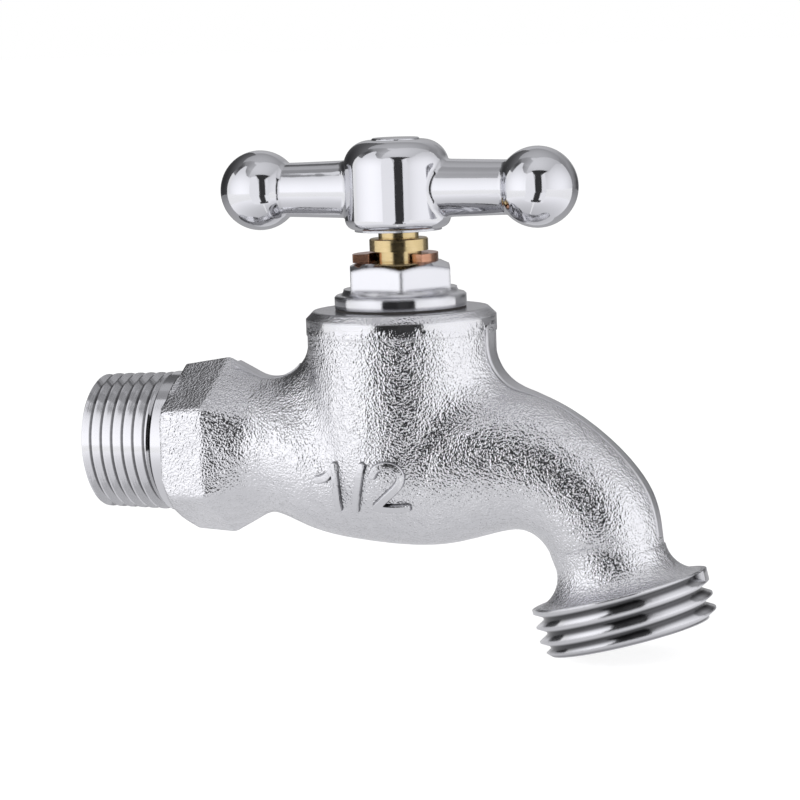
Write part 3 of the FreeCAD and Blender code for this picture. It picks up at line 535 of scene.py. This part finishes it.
def make_ceiling():
    """A grey ceiling, brightest in front, and a grey wall behind."""
    front = glow("ceiling_front", 0.88, beside(-10, 0.5, CEILING_Z), reach=1.6, edge_radiance=0.66)
    fan("ceiling_front", AHEAD, CEILING_RADIUS, CEILING_Z, front)
    back = glow("ceiling_back", 0.62, beside(0, 0, CEILING_Z), reach=CEILING_RADIUS, edge_radiance=0.4)
    fan("ceiling_back", BEHIND, CEILING_RADIUS, CEILING_Z, back)
    far = glow("wall_back", 0.62, beside(180, BACK_RADIUS, 1.2), reach=1.6, edge_radiance=0.34)
    wall("wall_back", BEHIND, BACK_RADIUS, FLOOR_Z, CEILING_Z, far)


def make_mats():
    """A pale mat round the tap, and a darker one behind it."""
    pale = glow("mat", 0.66, beside(0, 0, FLOOR_Z), reach=MAT_RADIUS, edge_radiance=1.2)
    fan("mat", ALL_ROUND, MAT_RADIUS, MAT_Z, pale)
    dark = glow("mat_back", 0.5, SPINDLE, reach=0.5, edge_radiance=0.3)
    fan("mat_back", BEHIND, BACK_RADIUS, MAT_BACK_Z, dark, MAT_BACK_INNER)


def make_corners():
    """Dark corners behind the tap, and a shade high at its left."""
    left = glow("corner_left", 0.04, beside(222, CORNER_RADIUS, 0.15), reach=0.95, edge_radiance=0.2)
    wall("corner_left", CORNER_LEFT, CORNER_RADIUS, CORNER_LOW, CORNER_LEFT_TOP, left)
    right = glow("corner_right", 0.05, beside(142, CORNER_RADIUS), reach=0.4, edge_radiance=0.4)
    wall("corner_right", CORNER_RIGHT, CORNER_RADIUS, CORNER_LOW, CORNER_RIGHT_TOP, right)
    shade = glow("shade_left", 0.1, beside(-102, SHADE_RADIUS, 0.9), reach=1.0, edge_radiance=0.64)
    wall("shade_left", SHADE_ARC, SHADE_RADIUS, SHADE_LOW, SHADE_TOP, shade)
    fan("shade_left_top", SHADE_ARC, SHADE_RADIUS, SHADE_TOP, shade, SHADE_INNER)


# Materials


def polished_chrome(name, edge):
    """Polished chrome with a faint orange peel, fine wiping marks and edges softened by that radius."""
    f = Finish(name)
    peel = f.noise(2.5 * MM, 1.0)
    wipes = f.noise(0.4 * MM, 3.0, 0.6, f.stretched((1, 1, 0.25)))
    tone = f.coloured(f.noise(6 * MM), (0.66, 0.662, 0.69), (0.70, 0.702, 0.73))
    rough = f.maths("ADD", f.ranged(wipes, 0.35, 0.75, 0.035, 0.075), f.times(f.worn(), 0.06))
    return f.finished(tone, rough, f.bump(peel, 0.01 * MM, f.rounded(edge)))


def neck_zones(f):
    """Masks of the casting up to the neck's turned band, of the bevel with the top, and of the top."""
    ragged = f.spread(f.noise(1.1 * MM, 3.0), -0.6 * MM, 0.6 * MM)
    height = f.maths("ADD", f.part(2), ragged)
    under_band = f.ranged(height, NECK_BAND_Z - 0.6 * MM, NECK_BAND_Z + 1.6 * MM, 1.0, 0.08, smooth=True)
    from_bevel = f.ranged(f.part(2), NECK_BEVEL_Z - 0.05 * MM, NECK_BEVEL_Z)
    top = f.ranged(f.part(2), NECK_TOP_Z - 0.1 * MM, NECK_TOP_Z - 0.05 * MM)
    return under_band, from_bevel, top


def thread_zones(f, radius, root, groove, *limits):
    """Masks of a thread: its flanks, and how deep in its grooves a place lies, which sets the painted shade
    in the grooves.
    """
    flanks = f.times(f.ranged(radius, root - 0.3 * MM, root - 0.2 * MM), *limits)
    depth = f.ranged(radius, root, root + groove, 1.0, 0.0, smooth=True)
    return flanks, f.times(depth, flanks)


def inlet_zones(f):
    """Masks of the shank, its thread's flanks, its grooves for painted shade, and the direction away from
    its axis.
    """
    outward, radius = f.outward(INLET, INLET_AXIS)
    untapered = f.maths("SUBTRACT", radius, f.times(f.part(0), INLET_TAPER))
    past_end = f.ranged(f.part(0), 0.1 * MM, 0.2 * MM)
    shank = f.ranged(f.part(0), CASTING_START_X, CASTING_START_X + 0.1 * MM, 1.0, 0.0)
    flanks, grooves = thread_zones(f, untapered, INLET_ROOT_R, 0.3 * MM, past_end, shank)
    return shank, flanks, grooves, outward


def outlet_zones(f):
    """Masks of the outlet's end, its thread's flanks, its grooves for painted shade, and the direction away
    from its axis.
    """
    outward, radius = f.outward(OUTLET, OUTLET_AXIS)
    beyond = f.along(OUTLET, OUTLET_AXIS)
    past_end = f.ranged(beyond, -0.2 * MM, -0.1 * MM, 1.0, 0.0)
    mouth = f.ranged(beyond, -OUTLET_THREAD_LENGTH - 0.1 * MM, -OUTLET_THREAD_LENGTH)
    flanks, grooves = thread_zones(f, radius, OUTLET_ROOT_R, 1.0 * MM, past_end, mouth)
    return mouth, flanks, grooves, outward


# The casting's skin and tones
GRAIN_SIZE = 0.2 * MM
GRAIN_SHARE = 0.6
PEBBLE_SIZE = 0.36 * MM
PEBBLE_DEPTH = 0.12 * MM
WAVE_SIZE = 2.2 * MM
WAVE_DEPTH = 0.22 * MM
TURNING_DEPTH = 0.004 * MM
RING_DEPTH = 0.012 * MM
SKIN_DARK = (0.75, 0.75, 0.775)
SKIN_LIGHT = (0.85, 0.85, 0.875)
MACHINED_TONE = (0.71, 0.71, 0.735)
# Painted shade: the near-black tone of the thread grooves
GROOVE_SHADE = (0.1, 0.1, 0.105)
TOP_TONE = (0.56, 0.56, 0.58)
MACHINED_ROUGH = 0.12
BEVEL_ROUGH = 0.24


def cast_chrome():
    """Chromed casting: a pebbled skin, and bright turned metal where it was machined."""
    f = Finish("cast_chrome")
    under_band, from_bevel, top = neck_zones(f)
    bevel = f.maths("SUBTRACT", from_bevel, top)
    shank, inlet_flanks, inlet_groove_shade, out_of_inlet = inlet_zones(f)
    mouth, outlet_flanks, outlet_groove_shade, out_of_outlet = outlet_zones(f)
    threaded = f.maths("MAXIMUM", shank, mouth)
    skin = f.times(f.maths("SUBTRACT", 1.0, threaded), under_band)

    # Threads and bevel shade in part as the round form under them
    normal = f.between(f.times(inlet_flanks, 0.95), f.rounded(0.7 * MM), out_of_inlet)
    normal = f.between(f.times(outlet_flanks, 0.6), normal, out_of_outlet)
    normal = f.between(f.times(bevel, 0.28), normal, f.outward(SPINDLE, UP)[0])

    # Pebbles and waves of the skin
    coarse = f.noise(WAVE_SIZE, 2.0)
    grain = f.noise(GRAIN_SIZE, 0.0)
    relief = f.maths("ADD", f.times(grain, GRAIN_SHARE), f.pebbles(PEBBLE_SIZE))
    pitted = f.maths("MAXIMUM", skin, f.times(bevel, 0.5))
    normal = f.bump(f.times(relief, pitted), PEBBLE_DEPTH, normal)
    normal = f.bump(f.times(coarse, skin), WAVE_DEPTH, normal)

    # Tool marks of threads and band
    turning = f.noise(0.12 * MM, 1.0, 0.5, f.stretched((1, 0.02, 0.02)))
    normal = f.bump(f.times(turning, threaded), TURNING_DEPTH, normal)
    rings = f.noise(0.16 * MM, 2.0, 0.5, f.stretched((0.02, 0.02, 1)))
    normal = f.bump(f.times(rings, f.maths("SUBTRACT", 1.0, under_band)), RING_DEPTH, normal)

    # Painted shade in the thread grooves, and a darker, duller top face
    tone = f.coloured(coarse, SKIN_DARK, SKIN_LIGHT)
    tone = f.coloured(skin, MACHINED_TONE, tone)
    tone = f.coloured(f.maths("MAXIMUM", inlet_groove_shade, outlet_groove_shade), tone, GROOVE_SHADE)
    tone = f.coloured(top, tone, TOP_TONE)
    rough = f.mix(skin, MACHINED_ROUGH, f.spread(grain, 0.2, 0.12))
    rough = f.mix(from_bevel, rough, BEVEL_ROUGH)
    return f.finished(tone, rough, normal)


def mark_chrome():
    """The raised size mark: smoother than the skin round it, with painted shade where it meets the casting.
    """
    f = Finish("mark_chrome")
    # Painted shade: the mark goes nearly black where ambient occlusion finds the casting close by
    crease_shade = f.add("ShaderNodeAmbientOcclusion", Distance=0.8 * MM)
    crease_shade.samples = 8
    unshaded = f.ranged(crease_shade.outputs["AO"], 0.74, 0.99)
    grain = f.noise(0.5 * MM, 2.0)
    tone = f.coloured(unshaded, (0.05, 0.05, 0.055), (0.78, 0.78, 0.805))
    return f.finished(tone, f.spread(grain, 0.12, 0.22), f.bump(grain, 0.05 * MM))


def ground_chrome():
    """The casting's seam, ground flat before it was plated: brushed along its length."""
    f = Finish("ground_chrome")
    brushed = f.noise(0.25 * MM, 3.0, 0.6, f.stretched((0.1, 1, 0.1)))
    tone = f.coloured(f.noise(2 * MM, 2.0), (0.62, 0.62, 0.64), (0.72, 0.72, 0.74))
    return f.finished(tone, f.spread(brushed, 0.34, 0.48), f.bump(brushed, 0.02 * MM))


def brass():
    """Turned brass with fine rings, slightly browned in random patches."""
    f = Finish("brass")
    rings = f.noise(0.09 * MM, 1.0, 0.5, f.stretched((0.03, 0.03, 1)))
    tone = f.coloured(f.noise(1.5 * MM, 3.0), (0.56, 0.43, 0.21), (0.70, 0.56, 0.32))
    return f.finished(tone, f.spread(rings, 0.14, 0.26), f.bump(rings, 0.006 * MM))


def copper():
    """Rolled copper strip, a little tarnished."""
    f = Finish("copper")
    grain = f.noise(0.25 * MM, 2.0)
    tone = f.coloured(f.noise(1.6 * MM, 2.0), (0.48, 0.24, 0.15), (0.64, 0.36, 0.25))
    normal = f.bump(grain, 0.01 * MM, f.rounded(0.15 * MM))
    return f.finished(tone, f.spread(grain, 0.16, 0.26), normal)


def steel():
    """Plain zinc-plated steel."""
    f = Finish("steel")
    grain = f.noise(0.3 * MM, 3.0)
    tone = f.coloured(grain, (0.50, 0.50, 0.50), (0.62, 0.62, 0.61))
    return f.finished(tone, f.spread(grain, 0.25, 0.4), f.bump(grain, 0.006 * MM))


def matt(name, dark, light, size, smoothest, roughest):
    """A plain unmetalled material with a fine grain: rubber, fibre or nylon."""
    f = Finish(name, metallic=0.0)
    grain = f.noise(size, 4.0, 0.6)
    rough = f.spread(grain, smoothest, roughest)
    return f.finished(f.coloured(grain, dark, light), rough, f.bump(grain, 0.02 * MM))


def make_materials():
    """One material for each slot of the record."""
    return {
        "polished_chrome": polished_chrome("polished_chrome", 0.3 * MM),
        "cast_chrome": cast_chrome(),
        "brass": brass(),
        "copper": copper(),
        "steel": steel(),
        "rubber": matt("rubber", (0.02, 0.02, 0.022), (0.05, 0.05, 0.052), 0.3 * MM, 0.55, 0.7),
        "fibre": matt("fibre", (0.03, 0.028, 0.027), (0.08, 0.07, 0.066), 0.25 * MM, 0.7, 0.9),
        "nylon": matt("nylon", (0.72, 0.70, 0.64), (0.82, 0.80, 0.75), 0.4 * MM, 0.35, 0.5),
    }


def dress(materials):
    """Gives each CAD node the material of its slot, and the bonnet a chrome with softer edges."""
    for node in NODES.values():
        slot = node.data.materials[0].name.split(".")[0]
        node.data.materials[0] = materials[slot]
    NODES["bonnet"].data.materials[0] = polished_chrome("bonnet_chrome", 0.95 * MM)


# Pieces on the casting: the raised size mark and the ground parting lines


def shell_of(node):
    """A search tree of a CAD node's surface."""
    return BVHTree.FromPolygons([v.co for v in node.data.vertices], [p.vertices for p in node.data.polygons])


def piece(name, points, faces, material, body):
    """A smooth mesh that rides on a body."""
    mesh = bpy.data.meshes.new(name)
    mesh.from_pydata([tuple(p) for p in points], [], faces)
    mesh.polygons.foreach_set("use_smooth", [True] * len(mesh.polygons))
    mesh.materials.append(material)
    thing = bpy.data.objects.new(name, mesh)
    bpy.context.scene.collection.objects.link(thing)
    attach(thing, body)


# The size mark in millimetres: middle lines of its strokes in X and Z, and its section
MARK_STROKES = {
    "one_flag": [(40.1, -4.0), (41.5, -3.6), (42.6, -2.7), (43.2, -1.75)],
    "one_stem": [(43.2, -1.75), (43.15, -4.8), (42.9, -8.3)],
    "slash": [(48.15, -1.55), (47.1, -4.9), (45.9, -8.3)],
    "two_bow": [
        (49.75, -2.9), (50.5, -1.85), (52.0, -1.4), (53.4, -1.9),
        (53.95, -3.2), (53.3, -4.6), (51.5, -6.2), (49.6, -7.75),
    ],
    "two_foot": [(49.6, -7.85), (52.0, -8.05), (54.2, -7.95)],
}
MARK_HALF_WIDTH = 0.76
MARK_TOP_HALF_WIDTH = 0.42
MARK_HEIGHT = 0.6
MARK_SINK = 0.1
MARK_STEP = 0.06
MARK_BOX = (39, 55.5, -9.3, -0.4)
MARK_FRONT_Y = -50 * MM
CURVE_STEPS = 8
DOT_STEPS = 20


def smooth_line(corners):
    """Points of a smooth line through the corners."""
    ends = [corners[0]] + corners + [corners[-1]]
    line = []
    for p, q, r, s in zip(ends, ends[1:], ends[2:], ends[3:]):
        bend = 2 * p - 5 * q + 4 * r - s
        twist = 3 * q - p - 3 * r + s
        for i in range(CURVE_STEPS):
            t = i / CURVE_STEPS
            line.append(0.5 * (2 * q + (r - p) * t + bend * t * t + twist * t ** 3))
    return line + [corners[-1]]


def stroke_dots():
    """A search tree of dots close together along the middle lines of the strokes."""
    lines = [smooth_line([Vector((x, z, 0)) for x, z in stroke]) for stroke in MARK_STROKES.values()]
    pairs = [pair for line in lines for pair in zip(line, line[1:])]
    dots = [a.lerp(b, i / DOT_STEPS) for a, b in pairs for i in range(DOT_STEPS)]
    tree = KDTree(len(dots))
    for i, dot in enumerate(dots):
        tree.insert(dot, i)
    tree.balance()
    return tree


def mark_height(away):
    """Height of the mark at that distance from a middle line: a rounded ridge with a sunk edge."""
    share = min(1, max(0, (away - MARK_TOP_HALF_WIDTH) / (MARK_HALF_WIDTH - MARK_TOP_HALF_WIDTH)))
    return MARK_HEIGHT * (1 - share * share * (3 - 2 * share)) - MARK_SINK * share


def make_size_mark(shell, material):
    """Raised, rounded "1/2" on the front of the belly, as a skin that follows the casting."""
    dots = stroke_dots()
    left, right, low, high = MARK_BOX
    reach = MARK_HALF_WIDTH + 1.5 * MARK_STEP
    numbers = {}
    points = []
    for i in range(round((right - left) / MARK_STEP) + 1):
        for j in range(round((high - low) / MARK_STEP) + 1):
            x = left + i * MARK_STEP
            z = low + j * MARK_STEP
            away = dots.find((x, z, 0))[2]
            if away > reach:
                continue
            in_front = Vector((x * MM, MARK_FRONT_Y, z * MM))
            place, normal = shell.ray_cast(in_front, Vector((0, 1, 0)))[:2]
            numbers[i, j] = len(points)
            points.append(place + normal * mark_height(away) * MM)
    faces = []
    for i, j in numbers:
        corners = [(i, j), (i + 1, j), (i + 1, j + 1), (i, j + 1)]
        if all(corner in numbers for corner in corners):
            faces.append([numbers[corner] for corner in corners])
    piece("size_mark", points, faces, material, "tap")


# The ground strips on the casting's middle plane
STRIP_EDGES = (-1.04, 1.04)
STRIP_FLAT = (-1.0, -0.5, 0.0, 0.5, 1.0)
STRIP_PROUD = 0.02 * MM
STRIP_SINK = 0.06 * MM
SPOUT_CENTRE = Vector((0.055, 0, -0.012))
SPOUT_RAY = 0.07
SPOUT_START = 73
SPOUT_STEP = 0.75
SPOUT_STEPS = 100
BARREL_START_X = 0.0225
BARREL_STEP = 0.00025
BARREL_STEPS = 44
BARREL_RAY_Z = 0.04
BARREL_HALF_WIDTH = 1.4 * MM


def ground_strip(name, shell, rays, half_widths, material):
    """A flat strip where rays meet the casting, proud of the skin and sunk into it at its edges."""
    points = []
    for (start, direction), half in zip(rays, half_widths):
        crest, normal = shell.ray_cast(start, direction)[:2]
        normal.y = 0
        normal.normalize()
        for side in (STRIP_EDGES[0], *STRIP_FLAT, STRIP_EDGES[1]):
            shift = Vector((0, side * half, 0))
            if side in STRIP_EDGES:
                skin = shell.ray_cast(start + shift, direction)[0]
                points.append(skin - normal * STRIP_SINK)
            else:
                points.append(crest + shift + normal * STRIP_PROUD)
    row = len(STRIP_FLAT) + len(STRIP_EDGES)
    starts = [row * i + j for i in range(len(rays) - 1) for j in range(row - 1)]
    faces = [[k, k + 1, k + row + 1, k + row] for k in starts]
    piece(name, points, faces, material, "tap")


def spout_half_width(share):
    """Half the width of the spout's strip: wide on the neck, narrow on the back, wider at the bend."""
    on_neck = 1 - min(1, max(0, (share - 0.2) / 0.25))
    at_bend = min(1, max(0, (share - 0.6) / 0.2))
    return (0.95 + 1.1 * on_neck * on_neck + 0.3 * at_bend) * MM


def make_parting_lines(shell, material):
    """The ground strips on the neck's right flank with the spout's back, and on the barrel."""
    rays = []
    for i in range(SPOUT_STEPS + 1):
        turn = math.radians(SPOUT_START - SPOUT_STEP * i)
        start = SPOUT_CENTRE + Vector((math.cos(turn), 0, math.sin(turn))) * SPOUT_RAY
        rays.append((start, (SPOUT_CENTRE - start).normalized()))
    widths = [spout_half_width(i / SPOUT_STEPS) for i in range(SPOUT_STEPS + 1)]
    ground_strip("parting_line_spout", shell, rays, widths, material)
    along = [BARREL_START_X + BARREL_STEP * i for i in range(BARREL_STEPS + 1)]
    rays = [(Vector((x, 0, BARREL_RAY_Z)), -UP) for x in along]
    ground_strip("parting_line_barrel", shell, rays, [BARREL_HALF_WIDTH] * len(rays), material)


make_camera()
make_world()
make_floor()
make_panels()
make_gap()
make_ceiling()
make_mats()
make_corners()
dress(make_materials())
casting = shell_of(NODES["tap_body"])
make_size_mark(casting, mark_chrome())
make_parting_lines(casting, ground_chrome())

scene = bpy.context.scene
scene.view_settings.view_transform = "Standard"
